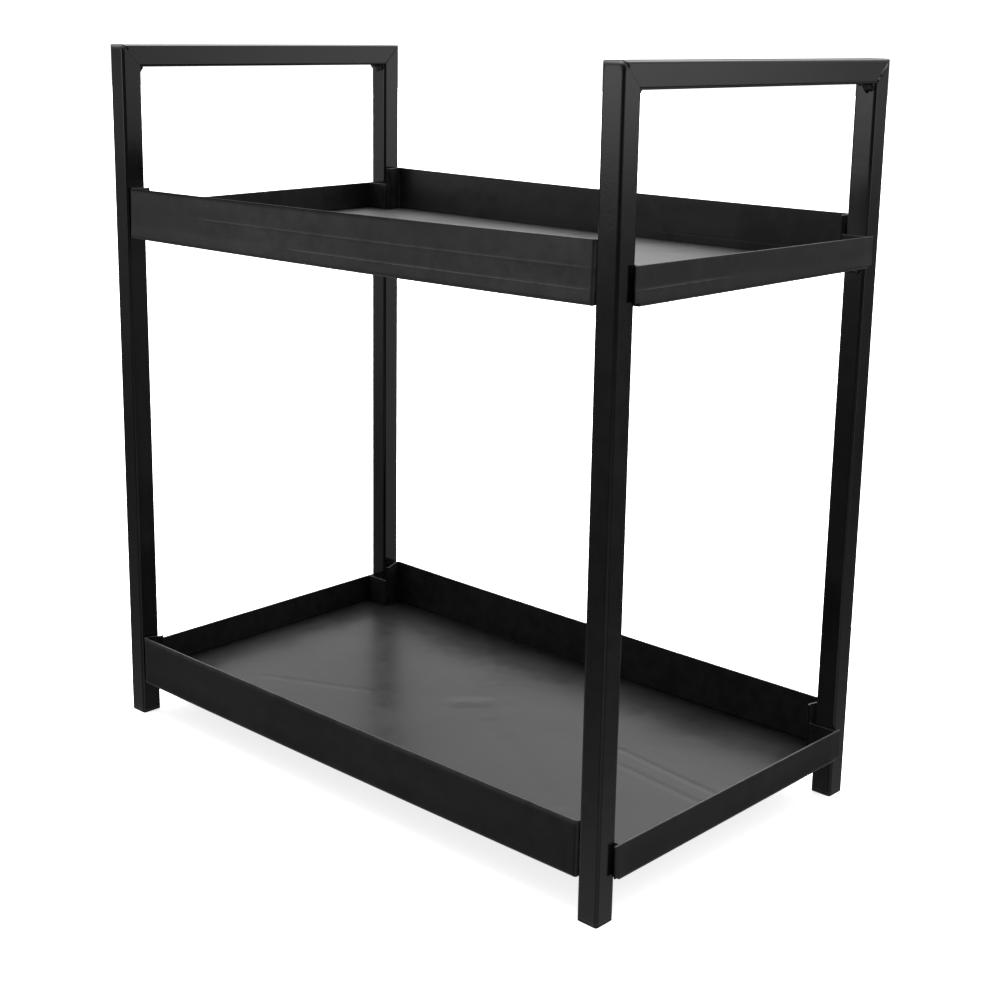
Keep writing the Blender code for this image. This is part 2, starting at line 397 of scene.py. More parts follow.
def coat_painted_light(tree, place, mottle, light_marks):
    """Painted light from the mesh and from the given marks, and, with marks, a painted highlight in a ring at
    the tubes' lower ends.
    """
    light_amount = times(tree, attribute_node(tree, "painted_light"), spread(tree, mottle, *LIGHT_UNEVEN))
    # Painted light on the faces that look the given way
    for start, stop, width, strength, way in light_marks:
        turned = vector_node(tree, "DOT_PRODUCT", normal_node(tree), way)
        turned = spread(tree, turned, *LIGHT_TURN, 0.0, strength)
        light_amount = plus(tree, light_amount, times(tree, mark_node(tree, place, start, stop, width), turned))
    # Painted highlight in a ring at the tubes' lower ends
    if light_marks:
        from_end = math_node(tree, "SUBTRACT", part_node(tree, place, "Z"), TUBE_END)
        from_end = math_node(tree, "ABSOLUTE", from_end)
        light_amount = plus(tree, light_amount, spread(tree, from_end, RING_REACH, RING_FULL, 0.0, RING_STRENGTH))
    return math_node(tree, "MINIMUM", light_amount, 1.0)


def ground_normal(tree, place, ground):
    """The surface's direction, rounded near the given edges."""
    nearness = 0.0
    for start, stop, width in ground:
        nearness = math_node(tree, "MAXIMUM", mark_node(tree, place, start, stop, width), nearness)
    softened = add_node(tree, "ShaderNodeMix", data_type="VECTOR")
    feed(tree, softened, 0, math_node(tree, "MULTIPLY", nearness, GROUND_FULL, clamp=True))
    feed(tree, softened, 4, normal_node(tree))
    feed(tree, softened, 5, bevel_node(tree, GROUND_RADIUS, GROUND_SAMPLES))
    return softened.outputs[1]


def powder_coat(name, marks=(), light_marks=(), ground=()):
    """Black satin powder coat: orange peel, specks, a tone that differs at random, faint rubs, and wear on
    edges, which is lighter there as a painted highlight. The mesh and the given marks bring painted light,
    painted highlights on the press lines and rims, and painted shade in the folds. Dust, partly a painted
    sheen, lightens the floor and adds to its roughness."""
    coat = COATS[name]
    mat, tree, shader = new_material(f"{name}_powder_coat")
    place = object_place(tree)

    haze = noise_node(tree, place, *PATTERNS["haze"])
    mottle = noise_node(tree, place, *PATTERNS["mottle"])
    rubs = noise_node(tree, place, *PATTERNS["rubs"], coat["rub_stretch"])
    rub_lines = spread(tree, rubs, *RUB_RANGE)
    nibs = specks_node(tree, place, NIB_CELLS, NIB_SIZE)
    # Wear on edges, lighter there as a painted highlight
    worn_highlight = times(tree, edge_node(tree, WORN_REACH), spread(tree, mottle, *WORN_RANGE))
    tone = plus(tree, times(tree, haze, HAZE_PART), times(tree, mottle, MOTTLE_PART))
    dust_sheen_mask = spread(tree, part_node(tree, normal_node(tree), "Z"), *DUST_TURN)
    dust_sheen_mask = times(tree, dust_sheen_mask, attribute_node(tree, "tray_floor"))
    pressed = times(tree, attribute_node(tree, "painted_highlight"), spread(tree, mottle, *HIGHLIGHT_UNEVEN))
    fold = attribute_node(tree, "painted_shade")

    colour = blend(tree, spread(tree, tone, *TONE_RANGE), coat["dark"], coat["light"])
    colour = blend(tree, times(tree, rub_lines, RUB_SHARE), colour, RUB_COLOUR)
    colour = blend(tree, times(tree, worn_highlight, WORN_HIGHLIGHT_SHARE), colour, WORN_HIGHLIGHT_COLOUR)
    # Dust on the floor, which is also a painted sheen that lightens the upper tray's floor
    colour = blend(tree, times(tree, dust_sheen_mask, coat["dust_and_sheen"]), colour, DUST_SHEEN_COLOUR)
    # Painted highlight on the press lines and on the lower tray's rims
    colour = blend(tree, pressed, colour, HIGHLIGHT_COLOUR)
    # Painted light, sheen and highlight: in the notches, beside the legs, on the walls' inner faces, on the
    # front wall, on the legs and round the tubes' ends
    colour = blend(tree, coat_painted_light(tree, place, mottle, light_marks), colour, PAINTED_LIGHT_COLOUR)
    # Painted shade in the folds, beside the legs and on the upper tray's front rim
    colour = blend(tree, times(tree, fold, FOLD_SHADE_SHARE), colour, FOLD_SHADE_COLOUR)
    feed(tree, shader, "Base Color", colour)
    feed(tree, shader, "Specular IOR Level", spread(tree, fold, 0.0, 1.0, *FOLD_SPECULAR))
    shader.inputs["IOR"].default_value = coat["ior"]

    gloss = spread(tree, tone, *GLOSS_RANGE, coat["smooth"], coat["rough"])
    gloss = plus(tree, gloss, times(tree, rub_lines, RUB_ROUGHER))
    gloss = plus(tree, gloss, times(tree, dust_sheen_mask, coat["dust_and_sheen"] * DUST_ROUGHER))
    gloss = math_node(tree, "ADD", gloss, times(tree, worn_highlight, WORN_ROUGHER), clamp=True)
    feed(tree, shader, "Roughness", gloss)

    height = noise_node(tree, place, *PATTERNS["peel"])
    grain = noise_node(tree, place, *PATTERNS["grain"])
    height = plus(tree, height, times(tree, grain, GRAIN_PART))
    height = plus(tree, height, times(tree, nibs, NIB_PART))
    patches = spread(tree, noise_node(tree, place, *PATTERNS["swell_patches"]), *PATCH_RANGE)
    swell = times(tree, noise_node(tree, place, *PATTERNS["swell"]), plus(tree, patches, LEAST_SWELL))
    for start, stop, width, strength in marks:
        uneven = spread(tree, mottle, *MARK_UNEVEN)
        ridge = times(tree, mark_node(tree, place, start, stop, width), uneven)
        swell = plus(tree, swell, times(tree, ridge, strength))
    swollen = bump_node(tree, swell, coat["swell"], ground_normal(tree, place, ground) if ground else None)
    feed(tree, shader, "Normal", bump_node(tree, height, coat["peel"], swollen))
    return mat


# Foot plugs: share of the cloud in the grey, reach of the scuffed edges with their painted highlight, dark
# and pale grey, range of the roughness and height of the grain
PLUG_CLOUD_SHARE = 0.4
PLUG_SCUFF_REACH = 0.0005
PLUG_DARK = 0.005
PLUG_PALE = 0.050
PLUG_ROUGHNESS = (0.46, 0.58)
PLUG_GRAIN_HEIGHT = 0.00003
PLUG_IOR = 1.5


def moulded_plastic(name):
    """Matt black plastic of the foot plugs, with a fine spark-eroded grain and scuffed edges, which are
    lighter there as a painted highlight.
    """
    mat, tree, shader = new_material(name)
    place = object_place(tree)
    cloud = noise_node(tree, place, *PATTERNS["plug_cloud"])
    grain = noise_node(tree, place, *PATTERNS["plug_grain"])
    scuffs_and_highlight = times(tree, edge_node(tree, PLUG_SCUFF_REACH), spread(tree, cloud, *SCUFF_RANGE))
    pale = math_node(tree, "ADD", times(tree, cloud, PLUG_CLOUD_SHARE), scuffs_and_highlight, clamp=True)
    feed(tree, shader, "Base Color", blend(tree, pale, PLUG_DARK, PLUG_PALE))
    feed(tree, shader, "Roughness", spread(tree, cloud, *GLOSS_RANGE, *PLUG_ROUGHNESS))
    shader.inputs["IOR"].default_value = PLUG_IOR
    feed(tree, shader, "Normal", bump_node(tree, grain, PLUG_GRAIN_HEIGHT))
    return mat


# Pieces

def add_object(name, data):
    made = bpy.data.objects.new(name, data)
    bpy.context.scene.collection.objects.link(made)
    return made


def finish_piece(name, build, mat, nodes):
    """Turn a built mesh into a piece that rides on the rack and stands for the given nodes."""
    mesh = bpy.data.meshes.new(name)
    bmesh.ops.recalc_face_normals(build, faces=build.faces)
    build.to_mesh(mesh)
    build.free()
    mesh.materials.append(mat)
    mesh.shade_smooth()
    piece = add_object(name, mesh)
    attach(piece, BODY)
    if nodes:
        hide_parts(*nodes)
    return piece


def between(first, second, share):
    return first + (second - first) * share


def soft_step(low, high, value):
    share = min(max((value - low) / (high - low), 0.0), 1.0)
    return share * share * (3 - 2 * share)


# Trays: how far the corners of the floor and of the rim stand from their design height, and the sag half way
# along the front and the rear, as the welded sheet of the photograph has them. The order is front left,
# front right, rear left, rear right, and front, rear
CORNER_LIFTS = {
    "upper_tray": {
        "floor": (-0.0009, 0.0026, 0.0022, 0.0023),
        "rim": (-0.0019, 0.0026, -0.0001, -0.0013),
        "sag": (-0.0008, -0.0010),
    },
    "lower_tray": {
        "floor": (-0.0006, 0.0003, 0.0003, 0.0015),
        "rim": (-0.0010, 0.0002, 0.0004, 0.0),
        "sag": (-0.0007, -0.0009),
    },
}


def tray_lift(tray, x, y, share_up):
    """How far the sheet stands above its design height at one place."""
    along = (x / HALF_WIDTH + 1) / 2
    back = (y / HALF_DEPTH + 1) / 2
    levels = []
    for level in ("floor", "rim"):
        front_left, front_right, rear_left, rear_right = CORNER_LIFTS[tray][level]
        front = between(front_left, front_right, along)
        rear = between(rear_left, rear_right, along)
        levels.append(between(front, rear, back))
    bow = 1 - (2 * along - 1) ** 2
    return between(*levels, share_up) + between(*CORNER_LIFTS[tray]["sag"], back) * bow


# Faint creases that the press left in the upper tray's walls: which wall, how far up it, and where along
# the wall the crease fades in and out
PRESS_LINES = (
    {"wall": "front", "up": 0.571, "start": -0.115, "stop": 0.176, "height": 0.00009},
    {"wall": "front", "up": 0.239, "start": -0.030, "stop": 0.174, "height": 0.00015},
    {"wall": "rear", "up": 0.22, "start": 0.040, "stop": 0.160, "height": 0.00004},
    {"wall": "side", "up": 0.255, "start": -0.098, "stop": -0.035, "height": 0.00014},
)

# Half width of a crease, the height at which its painted highlight is full, and the length over which it
# fades
PRESS_WIDTH = 0.0005
PRESS_FULL = 0.00012
PRESS_FADE = 0.012

# Painted sheen on the front wall of the upper tray: its middle along the wall, its reach and its strength.
# Below that, how uneven it is, and the cells of that to the metre along and up
FRONT_SHEEN = ((-0.060, 0.045, 0.38), (-0.125, 0.030, 0.12), (0.005, 0.030, 0.16), (0.150, 0.070, 0.26))
FRONT_SHEEN_UNEVEN = 0.6
FRONT_SHEEN_CELLS = (45, 120)

# The walls are sunk by this much, so that waves and creases stay inside the design size. Heights of the
# waves of the walls and of the floor
WALL_SINK = 0.00024
WALL_WAVE = 0.00016
FLOOR_WAVE = 0.00022

# Waves in cells to the metre: along and up a wall, and over the floor
WALL_WAVE_CELLS = (26, 90)
FLOOR_WAVE_CELLS = 17

# Shares of the height over which a wall starts to wave and up to which the floor reaches, and of the floor's
# reach over which its waves fade out
WALL_START = (0.04, 0.34)
FLOOR_TOP = 0.06
FLOOR_FADE = 0.15

# How far the rim of the upper tray's front wall leans in
FRONT_LEAN = 0.0006


def crease(wall, along, share_up, height):
    """How far the creases of one wall stand out at one place."""
    proud = 0.0
    for line in PRESS_LINES:
        if line["wall"] == wall:
            off = abs(share_up - line["up"]) * height / PRESS_WIDTH
            ends = soft_step(line["start"] - PRESS_FADE, line["start"] + PRESS_FADE, along)
            ends *= 1 - soft_step(line["stop"] - PRESS_FADE, line["stop"] + PRESS_FADE, along)
            proud += line["height"] * max(1 - off, 0.0) * ends
    return proud


def wall_wave(along, up, seed):
    return WALL_WAVE * noise.noise(Vector((along * WALL_WAVE_CELLS[0], up * WALL_WAVE_CELLS[1], seed)))


def sheet_waves(tray, place, low, high):
    """Small waves of the sheet: the walls move in and out, the floor up and down."""
    height = high.z - low.z
    share_up = (place.z - low.z) / height
    seed = 5.0 * TRAYS.index(tray)
    wall_share = soft_step(*WALL_START, share_up)
    pressed = tray == "upper_tray"
    shift = Vector((0.0, 0.0, 0.0))
    if abs(place.y) > HALF_DEPTH - WALL_ZONE:
        end = math.copysign(1, place.y)
        wall = "rear" if end > 0 else "front"
        proud = crease(wall, place.x, share_up, height) if pressed else 0.0
        lean = FRONT_LEAN * share_up if wall == "front" and pressed else 0.0
        shift.y = -end * wall_share * (WALL_SINK + wall_wave(place.x, place.z, seed + end) - proud + lean)
    elif abs(place.x) > high.x - WALL_ZONE:
        side = math.copysign(1, place.x)
        proud = crease("side", place.y, share_up, height) if pressed and side > 0 else 0.0
        shift.x = -side * wall_share * (WALL_SINK + wall_wave(place.y, place.z, seed + 2 * side + 9) - proud)
    inside = min(1 - abs(place.x) / FLOOR_REACH[0], 1 - abs(place.y) / FLOOR_REACH[1])
    if inside > 0 and share_up < FLOOR_TOP:
        wave = noise.noise(Vector((place.x * FLOOR_WAVE_CELLS, place.y * FLOOR_WAVE_CELLS, seed + 3)))
        shift.z = FLOOR_WAVE * wave * soft_step(0.0, FLOOR_FADE, inside)
    return shift


# The flange beside each leg stands a little askew: how far its inner end lies further from the leg, and how
# much lower that end's top is
FLANGE_SKEWS = {
    "upper_tray": {"rear_left": (0.0032, 0.0), "rear_right": (0.0014, 0.0),
                   "front_left": (0.0020, 0.0004), "front_right": (0.0020, 0.0004)},
    "lower_tray": {"rear_left": (0.0034, 0.0012), "rear_right": (0.0032, 0.0),
                   "front_left": (0.0022, 0.0016), "front_right": (0.0020, 0.0006)},
}

# How far along the wall the skew fades out, from where, and how far the wall's end leans towards the leg
FLANGE_SPREAD = 0.012
FLANGE_FULL = 0.001
WALL_END_OUT = 0.0007

# The lowered top of a flange: the share of the height where it starts, and how far along the wall it ends
FLANGE_TOP_START = 0.66
FLANGE_TOP_REACH = 0.004


def flange_slant(tray, place, low, high):
    """Moves one corner's flange: its inner end away from the leg, its outer end towards the leg."""
    side_word = "right" if place.x > 0 else "left"
    end_word = "rear" if place.y > 0 else "front"
    away, drop = FLANGE_SKEWS[tray][f"{end_word}_{side_word}"]
    from_flange = abs(abs(place.x) - FLANGE_X)
    if from_flange > FLANGE_SPREAD:
        return Vector((0.0, 0.0, 0.0))
    near = 1 - soft_step(FLANGE_FULL, FLANGE_SPREAD, from_flange)
    to_wall = (abs(place.y) - NOTCH_Y) / (HALF_DEPTH - NOTCH_Y)
    if to_wall > 0:
        inward = between(away, -WALL_END_OUT, min(to_wall, 1.0))
    else:
        inward = away * (1 - soft_step(0.0, 1.0, -to_wall))
    share_up = (place.z - low.z) / (high.z - low.z)
    top = soft_step(FLANGE_TOP_START, 1.0, share_up)
    near_top = 1 - soft_step(FLANGE_FULL, FLANGE_TOP_REACH, from_flange)
    lower = drop * top * (1 - min(max(to_wall, 0.0), 1.0)) * near_top
    return Vector((-math.copysign(inward * near, place.x), 0.0, -lower))


def add_cuts(build, direction, places):
    """Cut every face of the mesh at planes across one direction."""
    for place in places:
        geometry = build.verts[:] + build.edges[:] + build.faces[:]
        bmesh.ops.bisect_plane(
            build, geom=geometry, dist=MERGE, plane_co=Vector(direction) * place, plane_no=direction)


def even_places(start, stop, spacing):
    count = max(int((stop - start) / spacing), 1)
    return [start + (stop - start) * index / count for index in range(1, count)]


def beside_leg(place):
    """Whether a place is on the bend or the cut edge of a flange beside a leg."""
    return abs(abs(place.x) - FLANGE_X) < FOLD_REACH and abs(place.y) < NOTCH_Y + FOLD_REACH


def mark_folds(build, low):
    """Mark the folds where the coat lies in shade: the hollow ones round the floor and in the corners, and
    the proud ones beside the legs."""
    layer = build.verts.layers.float.new("painted_shade")
    for edge in build.edges:
        if not edge.is_manifold:
            continue
        angle = math.degrees(edge.calc_face_angle_signed())
        upright = abs((edge.verts[0].co - edge.verts[1].co).normalized().z) > UPRIGHT_SLOPE
        near_floor = max(vert.co.z for vert in edge.verts) < low.z + FOLD_REACH
        for vert in edge.verts:
            if angle > FOLD_ANGLE and upright and beside_leg(vert.co):
                vert[layer] = max(vert[layer], BEND_SHADE)
            elif angle < -FOLD_ANGLE and (upright or near_floor):
                vert[layer] = max(vert[layer], UPRIGHT_SHADE if upright else 1.0)


def mark_painted_light(build, low, high, wall_light):
    """Paint light on the faces of the notches and on the bends beside the legs, which lie in shade, and a
    little on the inner faces of the walls."""
    layer = build.verts.layers.float.new("painted_light")
    for vert in build.verts:
        from_flange = abs(FLANGE_X - abs(vert.co.x))
        from_low_wall = abs(NOTCH_Y - abs(vert.co.y))
        if abs(vert.co.y) > NOTCH_Y - 2 * RIM_ROUND:
            vert[layer] = 1 - soft_step(0.0, NOTCH_LIGHT_REACH, from_flange)
        if abs(vert.co.x) > FLANGE_X:
            vert[layer] = max(vert[layer], 1 - soft_step(0.0, NOTCH_LIGHT_REACH, from_low_wall))
        inside = abs(vert.co.x) < high.x - WALL_ZONE / 2 and abs(vert.co.y) < high.y - WALL_ZONE / 2
        if inside and vert.co.z > low.z + FOLD_REACH:
            vert[layer] = max(vert[layer], wall_light)


def mark_highlit_rims(build, low, high):
    """A painted highlight on the rims of the lower tray's front and right walls."""
    layer = build.verts.layers.float.new("painted_highlight")
    for vert in build.verts:
        front = vert.co.z > high.z - RIM_ROUND and vert.co.y < low.y + WALL_ZONE
        side_top = low.z + SIDE_WALL
        side = abs(vert.co.z - side_top) < RIM_ROUND and vert.co.x > high.x - WALL_ZONE
        if front or side:
            vert[layer] = RIM_HIGHLIGHT


def mark_shaded_rim(build, low, high):
    """Painted shade dulls the rim of the upper tray's front wall on its left half."""
    layer = build.verts.layers.float["painted_shade"]
    for vert in build.verts:
        if vert.co.z > high.z - 2 * RIM_ROUND and vert.co.y < low.y + WALL_ZONE:
            vert[layer] = RIM_SHADE * (1 - soft_step(*RIM_SHADE_ENDS, vert.co.x))


def mark_floor(build, low):
    """Mark the points of the floor, which are dusty and take a painted sheen."""
    layer = build.verts.layers.float.new("tray_floor")
    for vert in build.verts:
        if low.z + MERGE < vert.co.z < low.z + FOLD_REACH:
            vert[layer] = 1.0


def mark_press_lines(build, low, high):
    """Mark the painted highlights on the ridges of the press lines,
    and the painted sheen on the front wall."""
    lines = build.verts.layers.float.new("painted_highlight")
    haze = build.verts.layers.float["painted_light"]
    height = high.z - low.z
    for vert in build.verts:
        share_up = (vert.co.z - low.z) / height
        if vert.co.y < low.y + MERGE:
            vert[lines] = min(crease("front", vert.co.x, share_up, height) / PRESS_FULL, 1.0)
            # Painted sheen on the front wall
            cells = Vector((vert.co.x * FRONT_SHEEN_CELLS[0], vert.co.z * FRONT_SHEEN_CELLS[1], 2.0))
            uneven = 1 + FRONT_SHEEN_UNEVEN * noise.noise(cells)
            for middle, reach, strength in FRONT_SHEEN:
                vert[haze] += strength * uneven * math.exp(-((vert.co.x - middle) / reach) ** 2)
        elif vert.co.x > high.x - MERGE:
            vert[lines] = min(crease("side", vert.co.y, share_up, height) / PRESS_FULL, 1.0)
        elif high.y - WALL_ZONE < vert.co.y < high.y - WALL_ZONE / 2:
            vert[lines] = crease("rear", vert.co.x, share_up, height) / PRESS_FULL


def add_tray(name, mat):
    """The tray's own solid, with rounded cut edges, cut finer and settled as the real sheet is."""
    low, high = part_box(name)
    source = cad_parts[name]
    build = bmesh.new()
    build.from_mesh(source.data)
    bmesh.ops.remove_doubles(build, verts=build.verts, dist=MERGE)
    bmesh.ops.dissolve_limit(
        build, angle_limit=math.radians(FLAT_ANGLE), verts=build.verts, edges=build.edges)
    sharp_angle = math.radians(SHARP_ANGLE)
    sharp = [edge for edge in build.edges if edge.is_manifold and edge.calc_face_angle() > sharp_angle]
    bmesh.ops.bevel(
        build, geom=sharp, offset=RIM_ROUND, segments=3, profile=0.5, affect="EDGES", clamp_overlap=True)
    height = high.z - low.z
    up_places = even_places(low.z, high.z, CUT_UP)
    up_places.append(low.z + FOLD_REACH)
    if name == "upper_tray":
        for line in PRESS_LINES:
            middle = low.z + line["up"] * height
            up_places.extend([middle - PRESS_WIDTH, middle, middle + PRESS_WIDTH])
    ends_x = [low.x + FOLD_REACH, high.x - FOLD_REACH]
    ends_y = [low.y + FOLD_REACH, high.y - FOLD_REACH]
    add_cuts(build, (1, 0, 0), sorted(even_places(low.x, high.x, CUT_ALONG) + ends_x))
    add_cuts(build, (0, 1, 0), sorted(even_places(low.y, high.y, CUT_ALONG) + ends_y))
    add_cuts(build, (0, 0, 1), sorted(up_places))
    mark_folds(build, low)
    mark_floor(build, low)
    mark_painted_light(build, low, high, WALL_LIGHT[name])
    if name == "lower_tray":
        mark_highlit_rims(build, low, high)
    if name == "upper_tray":
        mark_shaded_rim(build, low, high)
        mark_press_lines(build, low, high)
    for vert in build.verts:
        shift = sheet_waves(name, vert.co, low, high) + flange_slant(name, vert.co, low, high)
        shift.z += tray_lift(name, vert.co.x, vert.co.y, (vert.co.z - low.z) / height)
        vert.co += shift
    piece = finish_piece(f"{name}_sheet", build, mat, [name])
    weights = piece.modifiers.new("flat_faces", "WEIGHTED_NORMAL")
    weights.mode = "FACE_AREA"
    return piece


# Welds

# Steps along a bead and round its quarter circle, and how deep its back lies in the corner
BEAD_STEPS = 26
BEAD_ROUND = 7
BEAD_SINK = 0.0002

# Shape of a bead: thickness at its ends, how bluntly it ends, ripples and their depth, unevenness and lumps
# with their pace along it, and how hollow its face is, 1 being round
BEAD_END_SHARE = 0.25
BEAD_BLUNTNESS = 5
BEAD_RIPPLES = 5
BEAD_RIPPLE = 0.06
BEAD_UNEVEN = 0.35
BEAD_UNEVEN_PACE = 3.1
BEAD_LUMPS = 0.18
BEAD_LUMP_PACE = (9.0, 2.0)
BEAD_HOLLOW = 1.2

# Shares of the length over which a thin start comes to full size
BEAD_THIN_REACH = (0.25, 0.6)


def add_bead(name, start, end, first_way, second_way, size, seed, mat, nodes, thin_start=1.0):
    """An uneven weld bead from start to end, in the corner between two faces that run the two ways. Its
    first part can be thinner."""
    build = bmesh.new()
    first_way, second_way = Vector(first_way), Vector(second_way)
    rings = []
    for step in range(BEAD_STEPS + 1):
        share = step / BEAD_STEPS
        centre = start.lerp(end, share)
        fullness = (1 - abs(2 * share - 1) ** BEAD_BLUNTNESS) ** 0.5
        ripple = 1 + BEAD_RIPPLE * math.sin(share * math.tau * BEAD_RIPPLES + seed)
        uneven_first = 1 + BEAD_UNEVEN * noise.noise(Vector((share * BEAD_UNEVEN_PACE, seed, 0.0)))
        uneven_second = 1 + BEAD_UNEVEN * noise.noise(Vector((share * BEAD_UNEVEN_PACE, seed, 7.0)))
        reach = size * between(BEAD_END_SHARE, 1.0, fullness) * ripple
        reach *= between(thin_start, 1.0, soft_step(*BEAD_THIN_REACH, share))
        points = [centre - (first_way + second_way) * BEAD_SINK]
        for turn in range(BEAD_ROUND + 1):
            angle = math.radians(90) * turn / BEAD_ROUND
            outward = first_way * (math.cos(angle) ** BEAD_HOLLOW * uneven_first)
            outward += second_way * (math.sin(angle) ** BEAD_HOLLOW * uneven_second)
            lump_place = Vector((share * BEAD_LUMP_PACE[0], angle * BEAD_LUMP_PACE[1], seed))
            lump = 1 + BEAD_LUMPS * noise.noise(lump_place)
            points.append(centre + outward * reach * lump)
        rings.append([build.verts.new(point) for point in points])
    for ring, following in zip(rings, rings[1:]):
        join_rings(build, ring, following)
    build.faces.new(rings[0])
    build.faces.new(list(reversed(rings[-1])))
    return finish_piece(name, build, mat, nodes)


def join_rings(build, ring, following):
    for index in range(len(ring)):
        beside = (index + 1) % len(ring)
        build.faces.new((ring[index], ring[beside], following[beside], following[index]))


# Size of the bead in each inner corner, and how thin it starts on its left. Size of a bead under a tray
CORNER_BEADS = {
    "front_left": (0.0030, 1.0),
    "front_right": (0.0024, 1.0),
    "rear_left": (0.0036, 1.0),
    "rear_right": (0.0044, 0.25),
}
TRAY_BEAD = 0.003

# Share of the tube's corner that a corner bead leaves free at each end
CORNER_BEAD_FREE = 0.6


def add_corner_weld(place, side, end, mat):
    """Bead in the inner corner under a top bar."""
    reach = TUBE / 2 - TUBE_CORNER * CORNER_BEAD_FREE
    corner = Vector((side * LEG_X, end * LEG_INNER_Y, BAR_UNDERSIDE))
    along = Vector((reach, 0.0, 0.0))
    node = f"corner_weld_{place}"
    size, thin_start = CORNER_BEADS[place]
    add_bead(f"{node}_bead", corner - along, corner + along, (0, -end, 0), (0, 0, -1), size,
             3.0 * side + 5.0 * end, mat, [node], thin_start)


def add_tray_weld(tray, place, side, end, mat):
    """Bead between a tray's underside and a leg's inner face."""
    node = f"{tray}_weld_{place}"
    low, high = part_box(node)
    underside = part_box(tray)[0].z + tray_lift(tray, side * LEG_X, end * LEG_INNER_Y, 0.0)
    half = Vector(((high.x - low.x) / 2, 0.0, 0.0))
    corner = Vector((side * LEG_X, end * LEG_INNER_Y, underside))
    seed = 2.0 * side + 7.0 * end + 11.0 * TRAYS.index(tray)
    add_bead(
        f"{node}_bead", corner - half, corner + half, (0, -end, 0), (0, 0, -1), TRAY_BEAD, seed, mat, [node])


# The weld in a mitre is a thin wire along the joint's outline: its radius, steps on each side and round each
# corner, and sides of the wire
MITRE_WIRE = 0.00048
MITRE_STEPS = 12
MITRE_CORNER_STEPS = 4
WIRE_SIDES = 10

# How proud it stands on the two upright faces. It is flush from this share of the half width upwards, and
# swollen below the second range. Unevenness of the wire, and its cells to the metre
MITRE_PROUD = {"front_left": 0.00010, "front_right": 0.00004, "rear_left": 0.00016, "rear_right": 0.00050}
MITRE_FLUSH_RANGE = (0.3, 1.0)
MITRE_SWOLLEN_RANGE = (-0.2, 0.5)
WIRE_UNEVEN = 0.25
WIRE_CELLS = 700

# The outer face meets the joint's plane at 45 degrees, so a flush wire lies this much of its radius deeper
DIAGONAL_REACH = 1.45

# Cosines above which a point of the outline looks to a side, or lies on the outer face
SIDEWAYS = 0.9
OUTER = 0.1


def mitre_outline():
    """Points round a tube's rounded square, with the way that each looks."""
    half = TUBE / 2
    flat = half - TUBE_CORNER
    outline = []
    for start_angle, corner_x, corner_v in ((0, 1, 1), (90, -1, 1), (180, -1, -1), (270, 1, -1)):
        for step in range(MITRE_CORNER_STEPS + 1):
            angle = math.radians(start_angle + 90 * step / MITRE_CORNER_STEPS)
            way = Vector((math.cos(angle), math.sin(angle)))
            x = corner_x * flat + TUBE_CORNER * way.x
            outline.append((x, corner_v * flat + TUBE_CORNER * way.y, way))
        for step in range(1, MITRE_STEPS):
            along = 1 - 2 * step / MITRE_STEPS
            if corner_x * corner_v > 0:
                outline.append((corner_x * flat * along, corner_v * half, Vector((0, corner_v))))
            else:
                outline.append((corner_x * half, corner_v * flat * along, Vector((corner_x, 0))))
    return outline


def add_mitre_weld(place, side, end, mat):
    """The ground weld that closes the 45 degree joint of a leg and its top bar: flush on the outer
    faces, a little proud on the two upright side faces."""
    build = bmesh.new()
    half = TUBE / 2
    middle = Vector((side * LEG_X, end * (HALF_DEPTH - half), FRAME_TOP - half))
    diagonal = Vector((0.0, end, 1.0))
    across = Vector((0.0, -end, 1.0)).normalized()
    rings = []
    for x, v, way in mitre_outline():
        uneven = noise.noise(Vector((x * WIRE_CELLS, v * WIRE_CELLS, 3.0 * side + end)))
        proud = 0.0
        swollen = 0.0
        if abs(way.x) > SIDEWAYS:
            proud = MITRE_PROUD[place] * (1 + uneven) * (1 - soft_step(*MITRE_FLUSH_RANGE, v / half))
            swollen = MITRE_PROUD[place] / MITRE_WIRE * (1 - soft_step(*MITRE_SWOLLEN_RANGE, v / half))
        wire = MITRE_WIRE * (1 + WIRE_UNEVEN * uneven + swollen)
        centre = middle + Vector((x, 0.0, 0.0)) + diagonal * v
        outward = (Vector((way.x, 0.0, 0.0)) + diagonal * way.y).normalized()
        centre -= outward * (wire * DIAGONAL_REACH if way.y > OUTER else wire - proud)
        ring = []
        for turn in range(WIRE_SIDES):
            angle = math.tau * turn / WIRE_SIDES
            off = outward * math.cos(angle) + across * math.sin(angle)
            ring.append(build.verts.new(centre + off * wire))
        rings.append(ring)
    for ring, following in zip(rings, rings[1:] + rings[:1]):
        join_rings(build, ring, following)
    finish_piece(f"mitre_weld_{place}", build, mat, [])


# Studio

FLOOR_SIZE = 12.0
FLOOR_GLOW = 0.80
FLOOR_ROUGHNESS = 0.9
BACKDROP_RADIUS = 11.0
BACKDROP_GLOW = 1.0
BACKDROP_ROUGHNESS = 0.5
STAGE_GREY = (0.9, 0.9, 0.9, 1.0)


def add_stage(name, build, mat_name, roughness, glow):
    """Make a floor or backdrop from a built mesh. It neither reflects in the rack nor lights it."""
    mesh = bpy.data.meshes.new(name)
    build.to_mesh(mesh)
    build.free()
    made = add_object(name, mesh)
    mat, _, shader = new_material(mat_name)
    for socket, value in (("Base Color", STAGE_GREY), ("Roughness", roughness),
                          ("Emission Color", (1.0, 1.0, 1.0, 1.0)), ("Emission Strength", glow)):
        shader.inputs[socket].default_value = value
    mesh.materials.append(mat)
    made.visible_glossy = False
    made.visible_diffuse = False
    return made


def add_floor():
    """A plain pale floor."""
    build = bmesh.new()
    bmesh.ops.create_grid(build, x_segments=8, y_segments=8, size=FLOOR_SIZE)
    add_stage("floor", build, "pale_floor", FLOOR_ROUGHNESS, FLOOR_GLOW)


